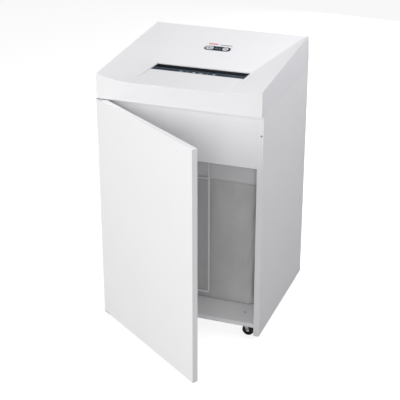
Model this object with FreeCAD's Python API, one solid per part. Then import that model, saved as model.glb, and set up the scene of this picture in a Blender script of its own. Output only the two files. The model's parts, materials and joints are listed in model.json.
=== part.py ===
import FreeCAD, Part
import math
import os

# Office paper shredder on casters: a board cabinet with a moulded hood, a driven pair of cutter
# shafts under the feed slot, and a waste bag hung behind a hinged door.
# Millimetres. +X to the right of someone facing the machine, +Y to the back, +Z up.
# The origin is on the ground, under the middle of the cabinet.

# overall sizes
case_width = 545.0
case_depth = 526.0
board = 19.0
skirt_z = 16.0
hood_base_z = 786.0
wall = 3.0

# hood surface
lip_z = 850.0
front_rim_z = 867.0
rear_rim_z = 907.5
slot_rear_z = 846.0
panel_top_z = 906.5
lip_half = 172.0
slot_half = 158.0
rear_kink_z = 825.0
rear_lean = 13.0
valley_sag = 3.0

# feed slot, measured back from the hood's front face
table_start = 60.0
slot_start = 165.0
slot_end = 236.0
throat_start = 207.0
throat_end = 221.0
throat_depth = 70.0
guide_end = 202.0
guide_drop = 2.0
side_seam = 2.5

# controls, on the sloping panel behind the slot
panel_station = 135.0
pill_length = 92.0
pill_height = 29.0
pill_proud = 1.0
start_length = 28.0
start_height = 20.0
reverse_diameter = 21.0
start_x = -27.5
reverse_x = 28.0
light_pitch = 6.5
post_spread = 10.0
button_gap = 0.35
button_proud = 1.6
button_travel = 1.5
button_skirt = 3.0
button_round = 0.8
stem_radius = 2.5
stem_z = -6.2
board_top = -12.0

# door
door_gap = 2.0
door_side_gap = 0.5
door_top_gap = 1.4
pivot_inset = 5.0
pivot_radius = 3.0
running_gap = 0.05
door_open_deg = 35.6

# cabinet
floor_thickness = 14.0
apron_thickness = 16.0
apron_bottom_z = 610.0
rear_thickness = 8.0
rear_inset = 4.0
vent_rows = 7
vent_columns = 3
vent_length = 60.0
vent_height = 5.0
vent_pitch_x = 75.0
vent_pitch_z = 14.0
vent_middle_x = -70.0
vent_drop = 98.0

# door hardware
pivot_plate = 2.0
pivot_plate_length = 34.0
hinge_plate = 3.0
hinge_gap = 0.5
hinge_length = 40.0
catch_x = 30.0
catch_half = 20.0
catch_depth = 18.0
catch_height = 13.0
strike_thickness = 1.2
switch_edge = 6.5
switch_z = 720.0
switch_radius = 3.0
switch_length = 28.0
switch_collar = 0.9
plunger_radius = 1.6
plunger_proud = 1.7
plunger_length = 14.0

# mains entry on the back
inlet_x = 190.0
inlet_z = 700.0
rocker_x = 145.0
rocker_tilt = -8.0
rocker_half = 7.6
rocker_axle_radius = 1.5
rocker_axle_depth = 4.0

# cutting unit
nip_drop = 38.0
gear_module = 2.0
cutter_teeth = 21
disc_overlap = 1.5
core_space = 1.5
disc_width = 5.8
disc_pitch = 11.8
disc_count = 26
comb_finger = 5.0
plate_inner_x = 164.0
plate_thickness = 8.0
plate_below = 58.0
plate_above = 37.0
journal_radius = 10.0
bearing_radius = 15.0
drive_teeth = 40
first_pinion_teeth = 14
second_gear_teeth = 42
motor_pinion_teeth = 14
gear_width = 12.0
gear_side_gap = 4.0
cover_end_gap = 14.0
cover_half_height = 48.0
counter_radius = 7.0
motor_radius = 45.0
motor_length = 124.0
motor_shaft_radius = 5.0
armature_radius = 20.0
tie_rod_radius = 6.0
tie_rod_inset = 20.0
screw_radius = 3.0
screw_space = 0.2
capacitor_radius = 20.0
capacitor_start_x = -125.0
capacitor_end_x = -50.0
core_end_gap = 4.0
beam_size = 30.0
beam_wall = 2.5
front_beam_reach = 91.0
rear_beam_reach = 159.0
chute_wall = 2.0
chute_bottom_z = 610.0

# bag, in the cabinet between the rails, with its sides leaning in towards the base
bag_side_space = 27.5
bag_side_lean = 6.0
bag_front_setback = 135.0
bag_rear_setback = 48.0
bag_lean = 5.0
bag_top_z = 592.0
bag_wall = 3.0
bag_corner = 24.0
soft_gap = 0.4
frame_bar = 4.0
frame_height = 14.0
cuff_bottom_z = 505.0
cuff_wall = 2.0
rail_z = 572.0
rail_width = 20.0
rail_thickness = 2.0
rail_front_setback = 123.0
rail_rear_setback = 23.0
tab_width = 20.0
front_tab_setback = 203.0
rear_tab_setback = 113.0

# bag-full wire
wire_radius = 2.75
wire_half = 60.0
wire_pivot_drop = 8.0
wire_bottom_z = 92.0
wire_cross_z = 510.0
wire_space = 11.5
wire_bend = 7.0
wire_stub = 26.0

# casters
wheel_radius = 20.0
wheel_half_width = 8.0
caster_trail = 12.0
caster_side_setback = 38.5
caster_front_setback = 53.0
caster_rear_setback = 58.0
caster_plate = 2.5
fork_thickness = 2.4
cheek_thickness = 1.6
cheek_space = 0.6
cheek_end = 5.5
wheel_space = 0.7
wheel_round = 2.5
swivel_gap = 0.4
kingpin_radius = 3.0
axle_radius = 2.5

# places worked out from the sizes above
half = case_width / 2
front_y = -case_depth / 2
back_y = case_depth / 2
cabinet_front_y = front_y + board + door_gap
inner_half = half - board
door_width = case_width - 2 * door_side_gap
door_top_z = hood_base_z - door_top_gap
back_face_y = back_y - rear_inset
slot_rear_y = front_y + slot_end
lights_x = (start_x + start_length / 2 + reverse_x - reverse_diameter / 2) / 2
fork_top_z = 2 * wheel_radius + wheel_space + fork_thickness
floor_bottom_z = fork_top_z + swivel_gap + caster_plate
floor_top_z = floor_bottom_z + floor_thickness
floor_tilt = math.degrees(math.atan2(lip_z - slot_rear_z, slot_end))
panel_run = back_y - slot_rear_y
bag_half_top = inner_half - bag_side_space
bag_half_bottom = bag_half_top - bag_side_lean
bag_front_top = front_y + bag_front_setback
bag_front_bottom = bag_front_top + bag_lean
bag_back_top = back_y - bag_rear_setback
bag_back_bottom = bag_back_top - bag_lean
rail_start_y = front_y + rail_front_setback
rail_end_y = back_y - rail_rear_setback
wire_y = bag_front_top - wire_space
caster_x = inner_half - caster_side_setback
caster_front_y = front_y + caster_front_setback
caster_rear_y = back_y - caster_rear_setback
panel_tilt = math.degrees(math.atan2(panel_top_z - slot_rear_z, panel_run))
shaft_distance = gear_module * cutter_teeth
disc_radius = shaft_distance / 2 + disc_overlap
core_radius = shaft_distance - disc_radius - core_space
cutter_z = slot_rear_z - throat_depth - nip_drop
plate_top_z = cutter_z + plate_above
plate_bottom_z = cutter_z - plate_below
wire_pivot_z = plate_bottom_z - beam_size - wire_pivot_drop
nip_y = front_y + (throat_start + throat_end) / 2
front_beam_y = nip_y - front_beam_reach
rear_beam_y = nip_y + rear_beam_reach
front_shaft_y = nip_y - shaft_distance / 2
rear_shaft_y = nip_y + shaft_distance / 2
counter_y = rear_shaft_y + gear_module * (drive_teeth + first_pinion_teeth) / 2
motor_y = counter_y + gear_module * (second_gear_teeth + motor_pinion_teeth) / 2
plate_outer_x = plate_inner_x + plate_thickness
pivot_x = -half + pivot_inset
pivot_y = front_y + board / 2
switch_x = half - switch_edge
motor_start_x = plate_inner_x - motor_length
core_end = plate_inner_x - core_end_gap
pair_x0 = plate_outer_x + gear_side_gap
pair_x1 = pair_x0 + gear_width
drive_x0 = pair_x1 + gear_side_gap
drive_x1 = drive_x0 + gear_width
pinion_x0 = drive_x1 + gear_side_gap
pinion_x1 = pinion_x0 + gear_width - 2
gear_cover_x = pinion_x1 + cover_end_gap
first_disc_x = -disc_pitch * disc_count / 2

X_AXIS = FreeCAD.Vector(1, 0, 0)
Y_AXIS = FreeCAD.Vector(0, 1, 0)
Z_AXIS = FreeCAD.Vector(0, 0, 1)


def vec(x, y, z):
    return FreeCAD.Vector(x, y, z)


def block(x0, x1, y0, y1, z0, z1):
    return Part.makeBox(x1 - x0, y1 - y0, z1 - z0, vec(x0, y0, z0))


def rod(radius, start, end):
    return Part.makeCylinder(radius, (end - start).Length, start, end - start)


def ring(outer, inner, start, end):
    return rod(outer, start, end).cut(rod(inner, start, end))


def polygon_x(points, x0, x1):
    """A flat outline of (y, z) points, drawn out along X."""
    corners = [vec(x0, y, z) for y, z in points]
    face = Part.Face(Part.makePolygon(corners + corners[:1]))
    return face.extrude(vec(x1 - x0, 0, 0))


def rounded_block(x0, x1, y0, y1, z0, z1, radius):
    """A block with its four upright edges rounded."""
    solid = block(x0, x1, y0, y1, z0, z1)
    upright = [e for e in solid.Edges if abs(e.tangentAt(e.FirstParameter).z) > 0.99]
    return solid.makeFillet(radius, upright)


def stadium(length, height, z0, z1, x=0.0):
    """A plate with half-round ends, long in X."""
    return rounded_block(x - length / 2, x + length / 2, -height / 2, height / 2, z0, z1, height / 2 - 0.01)


def fused(shapes):
    first, *rest = shapes
    return first.fuse(rest).removeSplitter() if rest else first


def turned(steps, y, z):
    """A shaft along X from steps of (start x, end x, radius)."""
    outline = [vec(steps[0][0], 0, 0)]
    for x0, x1, radius in steps:
        outline += [vec(x0, 0, radius), vec(x1, 0, radius)]
    outline.append(vec(steps[-1][1], 0, 0))
    face = Part.Face(Part.makePolygon(outline + outline[:1]))
    solid = face.revolve(vec(0, 0, 0), X_AXIS, 360)
    solid.translate(vec(0, y, z))
    return solid


def gear(teeth, x0, x1, y, z, first_tooth_deg, bore):
    """A straight-toothed gear along X, with its first tooth at an angle from +Y towards +Z."""
    pitch_radius = gear_module * teeth / 2
    root = pitch_radius - 1.25 * gear_module
    tip = pitch_radius + 0.85 * gear_module
    step = 360.0 / teeth
    points = []
    for tooth in range(teeth):
        middle = first_tooth_deg + tooth * step
        for radius, share in ((root, -0.29), (tip, -0.10), (tip, 0.10), (root, 0.29)):
            angle = math.radians(middle + share * step)
            points.append((y + radius * math.cos(angle), z + radius * math.sin(angle)))
    blank = polygon_x(points, x0, x1)
    return blank.cut(rod(bore, vec(x0 - 1, y, z), vec(x1 + 1, y, z))) if bore else blank


def meshing_angle(teeth):
    """Where a gear's first tooth is when a gap faces -Y."""
    return 180.0 + 180.0 / teeth


def on_floor(shape):
    """From flat to the recess floor, whose local origin is the middle of the front lip."""
    shape.rotate(vec(0, 0, 0), X_AXIS, -floor_tilt)
    shape.translate(vec(0, front_y, lip_z))
    return shape


def on_panel(shape):
    """From flat to the sloping control panel, at the middle of the controls."""
    shape.rotate(vec(0, 0, 0), X_AXIS, panel_tilt)
    run = panel_station * math.cos(math.radians(panel_tilt))
    rise = panel_station * math.sin(math.radians(panel_tilt))
    shape.translate(vec(0, slot_rear_y + run, slot_rear_z + rise))
    return shape


def on_door(shape):
    """From the closed door to the door at rest, part open."""
    shape.rotate(vec(pivot_x, pivot_y, 0), Z_AXIS, -door_open_deg)
    return shape


def section(y, rim_z, floor_z, floor_half, side, base_z, sag):
    """One cross-section of the hood: flat base, upright sides, and a dished top."""
    corners = [
        vec(-side, y, base_z),
        vec(side, y, base_z),
        vec(side, y, rim_z),
        vec(floor_half, y, floor_z),
        vec(-floor_half, y, floor_z),
        vec(-side, y, rim_z),
    ]
    middle_x = (side + floor_half) / 2
    middle_z = (rim_z + floor_z) / 2 - sag
    edges = [
        Part.makeLine(corners[0], corners[1]),
        Part.makeLine(corners[1], corners[2]),
        Part.Arc(corners[2], vec(middle_x, y, middle_z), corners[3]).toShape(),
        Part.makeLine(corners[3], corners[4]),
        Part.Arc(corners[4], vec(-middle_x, y, middle_z), corners[5]).toShape(),
        Part.makeLine(corners[5], corners[0]),
    ]
    return Part.Wire(edges)


def hood_body(inset, base_z):
    """The hood as one solid, drawn in from the outside by inset."""
    side = half - inset
    rim_slope = (rear_rim_z - front_rim_z) / case_depth
    slot_rim_z = front_rim_z + rim_slope * slot_end
    stations = [
        (front_y + inset, front_rim_z, lip_z, lip_half, valley_sag),
        (slot_rear_y, slot_rim_z, slot_rear_z, slot_half, valley_sag / 2),
        (back_y - inset, rear_rim_z, panel_top_z, half - 5.0, 0.1),
    ]
    wires = [section(y, rim - inset, floor - inset, width, side, base_z, sag)
             for y, rim, floor, width, sag in stations]
    body = Part.makeLoft(wires, True, True)
    behind = polygon_x([(back_y - inset, rear_kink_z), (back_y - rear_lean - inset, rear_rim_z),
                        (back_y - rear_lean - inset, rear_rim_z + 30), (back_y + 30, rear_rim_z + 30),
                        (back_y + 30, rear_kink_z)], -half - 1, half + 1)
    return body.cut(behind)


def make_hood():
    shell = hood_body(0.0, hood_base_z).cut(hood_body(wall, hood_base_z - 1))
    underside = block(-half, half, front_y, cabinet_front_y + apron_thickness + 4,
                      hood_base_z, hood_base_z + wall)
    boss = block(-half, -half + 3 * pivot_inset, front_y, cabinet_front_y, hood_base_z, hood_base_z + 20)
    solid = fused([shell, underside, boss])
    table_hole = on_floor(block(-slot_half - side_seam + 0.5, slot_half + side_seam - 0.5,
                                table_start, slot_end + 0.3, -2 * wall, wall))
    pill_hole = on_panel(stadium(pill_length - 1.6, pill_height - 1.6, -2 * wall, 2 * wall))
    pin_hole = rod(pivot_radius + running_gap, vec(pivot_x, pivot_y, hood_base_z - 1),
                   vec(pivot_x, pivot_y, hood_base_z + 15))
    return solid.cut(table_hole).cut(pill_hole).cut(pin_hole)


def make_feed_table():
    wide = slot_half + side_seam - 1.2
    narrow = slot_half - 0.5
    corners = [vec(-wide, table_start + 0.3, 0), vec(wide, table_start + 0.3, 0),
               vec(narrow, slot_start, 0), vec(-narrow, slot_start, 0)]
    face = Part.Face(Part.makePolygon(corners + corners[:1]))
    return on_floor(face.extrude(vec(0, 0, -wall)))


def make_inlet_throat():
    top = -wall - 0.02
    ledge = top - wall
    low = -throat_depth
    front_outline = [(slot_start, top), (guide_end, top - guide_drop), (throat_start, low),
                     (throat_start - wall, low), (guide_end - wall, ledge - guide_drop), (slot_start, ledge)]
    front_wall = polygon_x(front_outline, -slot_half, slot_half)
    rear_outline = [(slot_end, top), (slot_end + wall, top), (throat_end + wall, low), (throat_end, low)]
    rear_wall = polygon_x(rear_outline, -slot_half, slot_half)
    flange = block(-slot_half - 8, slot_half + 8, table_start - 6, slot_end + 8, ledge, top)
    flange = flange.cut(block(-slot_half + 2, slot_half - 2, slot_start, slot_end, ledge - 1, top + 1))
    end_outline = [(slot_start, top), (slot_end + wall, top), (throat_end + wall, low),
                   (throat_start - wall, low)]
    ends = [polygon_x(end_outline, x, x + wall) for x in (slot_half - 2, -slot_half - 1)]
    return on_floor(fused([front_wall, rear_wall, flange] + ends))


def make_inlet_guide():
    end = slot_half - 2.5
    return on_floor(polygon_x([(slot_start + 0.3, -0.6), (guide_end, -0.6 - guide_drop),
                               (guide_end, -wall - guide_drop), (slot_start + 0.3, -wall)], -end, end))


def make_paper_sensor():
    return on_floor(block(slot_half - 11, slot_half - 2.05, guide_end + 8, slot_end - 9, -32, -5))


def make_control_bezel():
    plate = stadium(pill_length, pill_height, 0.02, pill_proud)
    collar = stadium(pill_length - 2.0, pill_height - 2.0, -wall - 6, 0.02)
    inside = stadium(pill_length - 4.2, pill_height - 4.2, -wall - 7, -0.8)
    posts = [rod(2.0, vec(x, y, -0.8), vec(x, y, board_top))
             for x in (lights_x - post_spread, lights_x + post_spread) for y in (-6, 6)]
    body = fused([fused([plate, collar]).cut(inside)] + posts)
    start_hole = stadium(start_length + 2 * button_gap, start_height + 2 * button_gap, -2, 3, start_x)
    reverse_hole = rod(reverse_diameter / 2 + button_gap, vec(reverse_x, 0, -2), vec(reverse_x, 0, 3))
    return on_panel(body.cut(start_hole).cut(reverse_hole))


def with_stem(cap, x):
    """A button cap with its top edge eased, and the stem that presses the switch below."""
    top = [e for e in cap.Edges if e.BoundBox.ZMin > pill_proud]
    stem = rod(stem_radius, vec(x, 0, -button_skirt), vec(x, 0, stem_z))
    return fused([cap.makeFillet(button_round, top), stem])


def make_start_button():
    cap = stadium(start_length, start_height, -button_skirt, pill_proud + button_proud, start_x)
    return on_panel(with_stem(cap, start_x))


def make_reverse_button():
    cap = rod(reverse_diameter / 2, vec(reverse_x, 0, -button_skirt),
              vec(reverse_x, 0, pill_proud + button_proud))
    return on_panel(with_stem(cap, reverse_x))


def make_status_lights():
    """Three small lenses standing on the bezel between the buttons."""
    return on_panel(Part.makeCompound([rod(1.3, vec(x, 4, pill_proud), vec(x, 4, pill_proud + 0.5))
                                       for x in (lights_x - light_pitch, lights_x, lights_x + light_pitch)]))


def make_control_board():
    plate = block(-42, 42, -15, 15, board_top - 1.6, board_top)
    switch_top = stem_z - button_travel - 0.3
    switches = [block(x - 3, x + 3, -3, 3, board_top, switch_top) for x in (start_x, reverse_x)]
    return on_panel(fused([plate] + switches))


def make_side_panel(side):
    inner, outer = side * inner_half, side * half
    panel = block(min(inner, outer), max(inner, outer), cabinet_front_y, back_y, skirt_z, hood_base_z)
    if side > 0:
        panel = panel.cut(rod(switch_radius + 0.02, vec(switch_x, cabinet_front_y - 1, switch_z),
                              vec(switch_x, cabinet_front_y + switch_length + 2, switch_z)))
    return panel


def make_rear_panel():
    panel = block(-inner_half, inner_half, back_face_y - rear_thickness, back_face_y,
                  floor_top_z, hood_base_z)
    holes = [(inlet_x, inlet_z, 13.7, 10.2), (rocker_x, inlet_z, 10.2, 13.2)]
    for row in range(vent_rows):
        for column in range(vent_columns):
            x = vent_middle_x + (column - (vent_columns - 1) / 2) * vent_pitch_x
            z = cutter_z - vent_drop + row * vent_pitch_z + vent_height / 2
            holes.append((x, z, vent_length / 2, vent_height / 2))
    for x, z, across, up in holes:
        panel = panel.cut(block(x - across, x + across, back_face_y - 20, back_face_y + 1, z - up, z + up))
    return panel


def make_cabinet_floor():
    return block(-inner_half, inner_half, cabinet_front_y, back_face_y, floor_bottom_z, floor_top_z)


def make_front_apron():
    return block(-inner_half, inner_half, cabinet_front_y, cabinet_front_y + apron_thickness,
                 apron_bottom_z, hood_base_z)


def make_unit_beam(y):
    z = plate_bottom_z - beam_size
    tube = block(-inner_half, inner_half, y, y + beam_size, z, z + beam_size)
    return tube.cut(block(-inner_half - 1, inner_half + 1, y + beam_wall, y + beam_size - beam_wall,
                          z + beam_wall, z + beam_size - beam_wall))


def rod_places():
    return [(y, z) for y in (front_beam_y + beam_size, rear_shaft_y + 40)
            for z in (plate_top_z - tie_rod_inset, plate_bottom_z + tie_rod_inset)]


def make_bearing_plate(side):
    x0, x1 = sorted((side * plate_inner_x, side * plate_outer_x))
    end_y = rear_beam_y + beam_size if side > 0 else rear_shaft_y + 60
    plate = block(x0, x1, front_beam_y, end_y, plate_bottom_z, plate_top_z)
    if side < 0:
        foot = block(x0, x1, front_beam_y, rear_beam_y + beam_size, plate_bottom_z, plate_bottom_z + 25)
        plate = plate.fuse(foot)
    for y in (front_shaft_y, rear_shaft_y) + ((counter_y,) if side > 0 else ()):
        plate = plate.cut(rod(bearing_radius + 0.02, vec(x0 - 1, y, cutter_z), vec(x1 + 1, y, cutter_z)))
    if side > 0:
        plate = plate.cut(rod(9, vec(x0 - 1, motor_y, cutter_z), vec(x1 + 1, motor_y, cutter_z)))
    for y, z in rod_places():
        plate = plate.cut(rod(screw_radius + screw_space, vec(x0 - 1, y, z), vec(x1 + 1, y, z)))
    return plate.removeSplitter()


def make_tie_rods():
    rods = []
    for y, z in rod_places():
        bar = rod(tie_rod_radius, vec(-plate_inner_x, y, z), vec(plate_inner_x, y, z))
        for side in (-1, 1):
            bar = bar.cut(rod(screw_radius + screw_space, vec(side * plate_inner_x, y, z),
                              vec(side * (plate_inner_x - 16), y, z)))
        rods.append(bar)
    return Part.makeCompound(rods)


def make_frame_screws():
    screws = []
    for y, z in rod_places():
        for side in (-1, 1):
            under_head = vec(side * plate_outer_x, y, z)
            shank = rod(screw_radius, under_head, vec(side * (plate_inner_x - 14), y, z))
            head = rod(screw_radius + 2, under_head, vec(side * (plate_outer_x + 3.5), y, z))
            screws.append(fused([shank, head]))
    return Part.makeCompound(screws)


def make_shaft_bearings():
    rings = []
    for side in (-1, 1):
        for y in (front_shaft_y, rear_shaft_y) + ((counter_y,) if side > 0 else ()):
            bore = counter_radius if y == counter_y else journal_radius
            rings.append(ring(bearing_radius, bore + running_gap, vec(side * plate_inner_x, y, cutter_z),
                              vec(side * plate_outer_x, y, cutter_z)))
    return Part.makeCompound(rings)


def cutter_steps(first_disc_x, end_x):
    """Core, cutting discs and journals of one cutter shaft."""
    steps = [(-plate_outer_x - gear_side_gap, -core_end, journal_radius)]
    x = -core_end
    for disc in range(disc_count):
        start = first_disc_x + disc * disc_pitch
        steps += [(x, start, core_radius), (start, start + disc_width, disc_radius)]
        x = start + disc_width
    return steps + [(x, core_end, core_radius), (core_end, end_x, journal_radius)]


def make_comb(y, direction, first_disc_x):
    """A bar with a finger in each gap between the discs, on the side away from the nip."""
    near = y + direction * (disc_radius + 2)
    far = near + direction * 12
    bar = block(-plate_inner_x, plate_inner_x, min(near, far), max(near, far), cutter_z - 6, cutter_z + 6)
    reach = y + direction * (core_radius + 0.6)
    y0, y1 = sorted((near, reach))
    gap_width = disc_pitch - disc_width
    fingers = []
    for disc in range(disc_count - 1):
        x = first_disc_x + disc * disc_pitch + disc_width + (gap_width - comb_finger) / 2
        fingers.append(block(x, x + comb_finger, y0, y1, cutter_z - 5, cutter_z + 5))
    return fused([bar] + fingers)


def make_chute():
    y0 = front_shaft_y - disc_radius - 10
    y1 = rear_shaft_y + disc_radius + 10
    outer = block(-plate_inner_x, plate_inner_x, y0, y1, chute_bottom_z, plate_bottom_z + 14)
    return outer.cut(block(-plate_inner_x + chute_wall, plate_inner_x - chute_wall, y0 + chute_wall,
                           y1 - chute_wall, chute_bottom_z - 1, plate_bottom_z + 15))


def make_gear_cover():
    """A box over the gear train, open towards the bearing plate, with a bush for the countershaft."""
    y0, y1 = front_shaft_y - 26, motor_y + 24
    z0, z1 = cutter_z - cover_half_height, cutter_z + cover_half_height
    x0, x1 = plate_outer_x, gear_cover_x
    shell = block(x0, x1, y0, y1, z0, z1)
    shell = shell.cut(block(x0 - 1, x1 - wall, y0 + wall, y1 - wall, z0 + wall, z1 - wall))
    bush = rod(counter_radius + 4, vec(x1 - 10, counter_y, cutter_z), vec(x1 - wall, counter_y, cutter_z))
    bush_hole = rod(counter_radius + running_gap, vec(x1 - 11, counter_y, cutter_z),
                    vec(x1 + 1, counter_y, cutter_z))
    return fused([shell, bush]).cut(bush_hole)


def make_motor_housing():
    x0, x1 = motor_start_x, plate_inner_x
    can = rod(motor_radius, vec(x0, motor_y, cutter_z), vec(x1 - 4, motor_y, cutter_z))
    flange = block(x1 - 4, x1, motor_y - motor_radius, motor_y + motor_radius, cutter_z - 40, plate_top_z)
    cavity = rod(armature_radius + 4, vec(x0 + 14, motor_y, cutter_z), vec(x1 - 18, motor_y, cutter_z))
    bore = rod(motor_shaft_radius + running_gap, vec(x0 + 4, motor_y, cutter_z),
               vec(x1 + 1, motor_y, cutter_z))
    top_z, foot_z = cutter_z + motor_radius, cutter_z - motor_radius
    rib = block(x0 + 20, x1 - 24, motor_y - 3, motor_y + 3, top_z - 1, top_z + 3)
    foot = block(x0 + 20, x1 - 24, motor_y - 20, motor_y + 20, foot_z - 6, foot_z + 8)
    return fused([can, flange, foot, rib]).cut(cavity).cut(bore)


def make_motor_rotor():
    shaft = turned([(motor_start_x + 6, motor_start_x + 20, motor_shaft_radius),
                    (motor_start_x + 20, plate_inner_x - 24, armature_radius),
                    (plate_inner_x - 24, pinion_x1 + 3, motor_shaft_radius)], motor_y, cutter_z)
    pinion = gear(motor_pinion_teeth, pinion_x0, pinion_x1, motor_y, cutter_z,
                  meshing_angle(motor_pinion_teeth), 0)
    return fused([shaft, pinion])


def make_reduction_gear():
    shaft = turned([(plate_inner_x + 1, gear_cover_x - 0.5, counter_radius)], counter_y, cutter_z)
    first = gear(first_pinion_teeth, drive_x0, drive_x1, counter_y, cutter_z,
                 meshing_angle(first_pinion_teeth), 0)
    second = gear(second_gear_teeth, pinion_x0, pinion_x1, counter_y, cutter_z, 0.0, 0)
    return fused([shaft, first, second])


def make_capacitor():
    x0, x1 = capacitor_start_x, capacitor_end_x
    y = rear_beam_y + beam_size / 2
    z = plate_bottom_z + capacitor_radius + 4
    body = rod(capacitor_radius, vec(x0, y, z), vec(x1, y, z))
    return fused([body, block(x0 + 10, x1 - 10, y - 12, y + 12, plate_bottom_z, plate_bottom_z + 8)])


def make_bag_rails():
    rails = []
    for side in (-1, 1):
        x0, x1 = sorted((side * (inner_half - rail_width), side * inner_half))
        leg = block(x0, x1, rail_start_y, rail_end_y, rail_z, rail_z + rail_thickness)
        x0, x1 = sorted((side * (inner_half - rail_thickness), side * inner_half))
        rails.append(fused([leg, block(x0, x1, rail_start_y, rail_end_y, rail_z, rail_z + rail_width)]))
    return Part.makeCompound(rails)


def bag_outline(grow, z, share):
    """The bag's rounded outline at a height, where share goes from 0 at its base to 1 at its mouth."""
    side = bag_half_bottom + (bag_half_top - bag_half_bottom) * share + grow
    y0 = bag_front_bottom + (bag_front_top - bag_front_bottom) * share - grow
    y1 = bag_back_bottom + (bag_back_top - bag_back_bottom) * share + grow
    solid = rounded_block(-side, side, y0, y1, z, z + 1, bag_corner + grow)
    return min(solid.Faces, key=lambda f: f.CenterOfMass.z).OuterWire


def bag_tube(grow, z0, z1):
    height = bag_top_z - floor_top_z
    wires = [bag_outline(grow, z, (z - floor_top_z) / height) for z in (z0, z1)]
    return Part.makeLoft(wires, True, True)


def make_waste_bag():
    base = floor_top_z + soft_gap
    return bag_tube(0, base, bag_top_z).cut(bag_tube(-bag_wall, base + bag_wall, bag_top_z + 5))


def frame_tabs(grow):
    z0 = rail_z + rail_thickness
    boxes = []
    for side in (-1, 1):
        x0, x1 = sorted((side * (bag_half_top + frame_bar - 1), side * (inner_half - rail_thickness - 1)))
        for y in (front_y + front_tab_setback, back_y - rear_tab_setback):
            boxes.append(block(x0, x1, y - tab_width / 2 - grow, y + tab_width / 2 + grow,
                               z0 - grow, z0 + frame_bar + grow))
    return boxes


def make_bag_frame():
    z0 = bag_top_z - frame_height
    inner, outer = soft_gap, soft_gap + frame_bar
    bar = bag_tube(outer, z0 - 4, bag_top_z).cut(bag_tube(inner, z0 - 5, bag_top_z + 1))
    return fused([bar] + frame_tabs(0))


def make_bag_cuff():
    inner = 2 * soft_gap + frame_bar
    outer = inner + cuff_wall
    cuff = bag_tube(outer, cuff_bottom_z, bag_top_z).cut(bag_tube(inner, cuff_bottom_z - 1, bag_top_z + 1))
    for tab in frame_tabs(soft_gap):
        cuff = cuff.cut(tab)
    return cuff


def wire_path():
    """Down one side of the hoop, along its foot and up the other, with an outward stub at each top."""
    reach = wire_half + wire_stub
    corners = [(-reach, wire_pivot_z), (-wire_half, wire_pivot_z), (-wire_half, wire_bottom_z),
               (wire_half, wire_bottom_z), (wire_half, wire_pivot_z), (reach, wire_pivot_z)]
    places = [vec(x, wire_y, z) for x, z in corners]
    edges = []
    start = places[0]
    for before, corner, after in zip(places, places[1:], places[2:]):
        into = (corner - before).normalize()
        out = (after - corner).normalize()
        entry, leave = corner - into * wire_bend, corner + out * wire_bend
        centre = entry + out * wire_bend
        middle = centre + (corner - centre).normalize() * wire_bend
        edges += [Part.makeLine(start, entry), Part.Arc(entry, middle, leave).toShape()]
        start = leave
    edges.append(Part.makeLine(start, places[-1]))
    return Part.Wire(edges)


def make_bag_full_wire():
    path = wire_path()
    start = vec(-wire_half - wire_stub, wire_y, wire_pivot_z)
    profile = Part.Wire([Part.Circle(start, X_AXIS, wire_radius).toShape()])
    hoop = path.makePipeShell([profile], True, True)
    cross = rod(wire_radius, vec(-wire_half, wire_y, wire_cross_z), vec(wire_half, wire_y, wire_cross_z))
    return hoop.fuse(cross)


def make_wire_brackets():
    beam_bottom = plate_bottom_z - beam_size
    brackets = []
    for side in (-1, 1):
        x0, x1 = sorted((side * (wire_half + wire_bend + 2), side * (wire_half + wire_stub - 2)))
        body = block(x0, x1, wire_y - 8, front_beam_y + 12, wire_pivot_z - wire_pivot_drop, beam_bottom)
        brackets.append(body.cut(rod(wire_radius + running_gap, vec(x0 - 1, wire_y, wire_pivot_z),
                                     vec(x1 + 1, wire_y, wire_pivot_z))))
    return Part.makeCompound(brackets)


def make_door_panel():
    x0 = -door_width / 2
    panel = block(x0, x0 + door_width, front_y, front_y + board, skirt_z, door_top_z)
    for z0, z1 in ((door_top_z - pivot_plate, door_top_z), (skirt_z, skirt_z + pivot_plate)):
        panel = panel.cut(block(x0 - 1, x0 + pivot_plate_length, front_y - 1, front_y + board + 1, z0, z1))
    return on_door(panel)


def make_door_pivots():
    """Steel plates let into the door's top and bottom corners, each with its pin."""
    x0 = -door_width / 2
    x1 = x0 + pivot_plate_length
    foot_z = skirt_z - hinge_gap - hinge_plate - 0.5
    pivots = []
    for plate_z, pin_z0, pin_z1 in ((door_top_z - pivot_plate, door_top_z, hood_base_z + 13),
                                    (skirt_z, foot_z, skirt_z)):
        plate = block(x0, x1, front_y, front_y + board, plate_z, plate_z + pivot_plate)
        pin = rod(pivot_radius, vec(pivot_x, pivot_y, pin_z0), vec(pivot_x, pivot_y, pin_z1))
        pivots.append(fused([plate, pin]))
    return on_door(Part.makeCompound(pivots))


def make_lower_hinge():
    """A plate under the left side panel that carries the door's lower pin."""
    top = skirt_z - hinge_gap
    end_y = cabinet_front_y + hinge_length
    plate = block(-half, -inner_half, front_y + 2, end_y, top - hinge_plate, top)
    packer = block(-half, -inner_half, cabinet_front_y, end_y, top, skirt_z)
    return fused([plate, packer]).cut(rod(pivot_radius + running_gap, vec(pivot_x, pivot_y, top - 4),
                                          vec(pivot_x, pivot_y, top + 1)))


def make_magnet_catch():
    return block(catch_x - catch_half, catch_x + catch_half, cabinet_front_y, cabinet_front_y + catch_depth,
                 floor_bottom_z - catch_height, floor_bottom_z)


def make_catch_plate():
    inner_y = front_y + board
    z = floor_bottom_z - catch_height
    return on_door(block(catch_x - catch_half, catch_x + catch_half, inner_y, inner_y + strike_thickness,
                         z + 1, z + 11))


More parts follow.
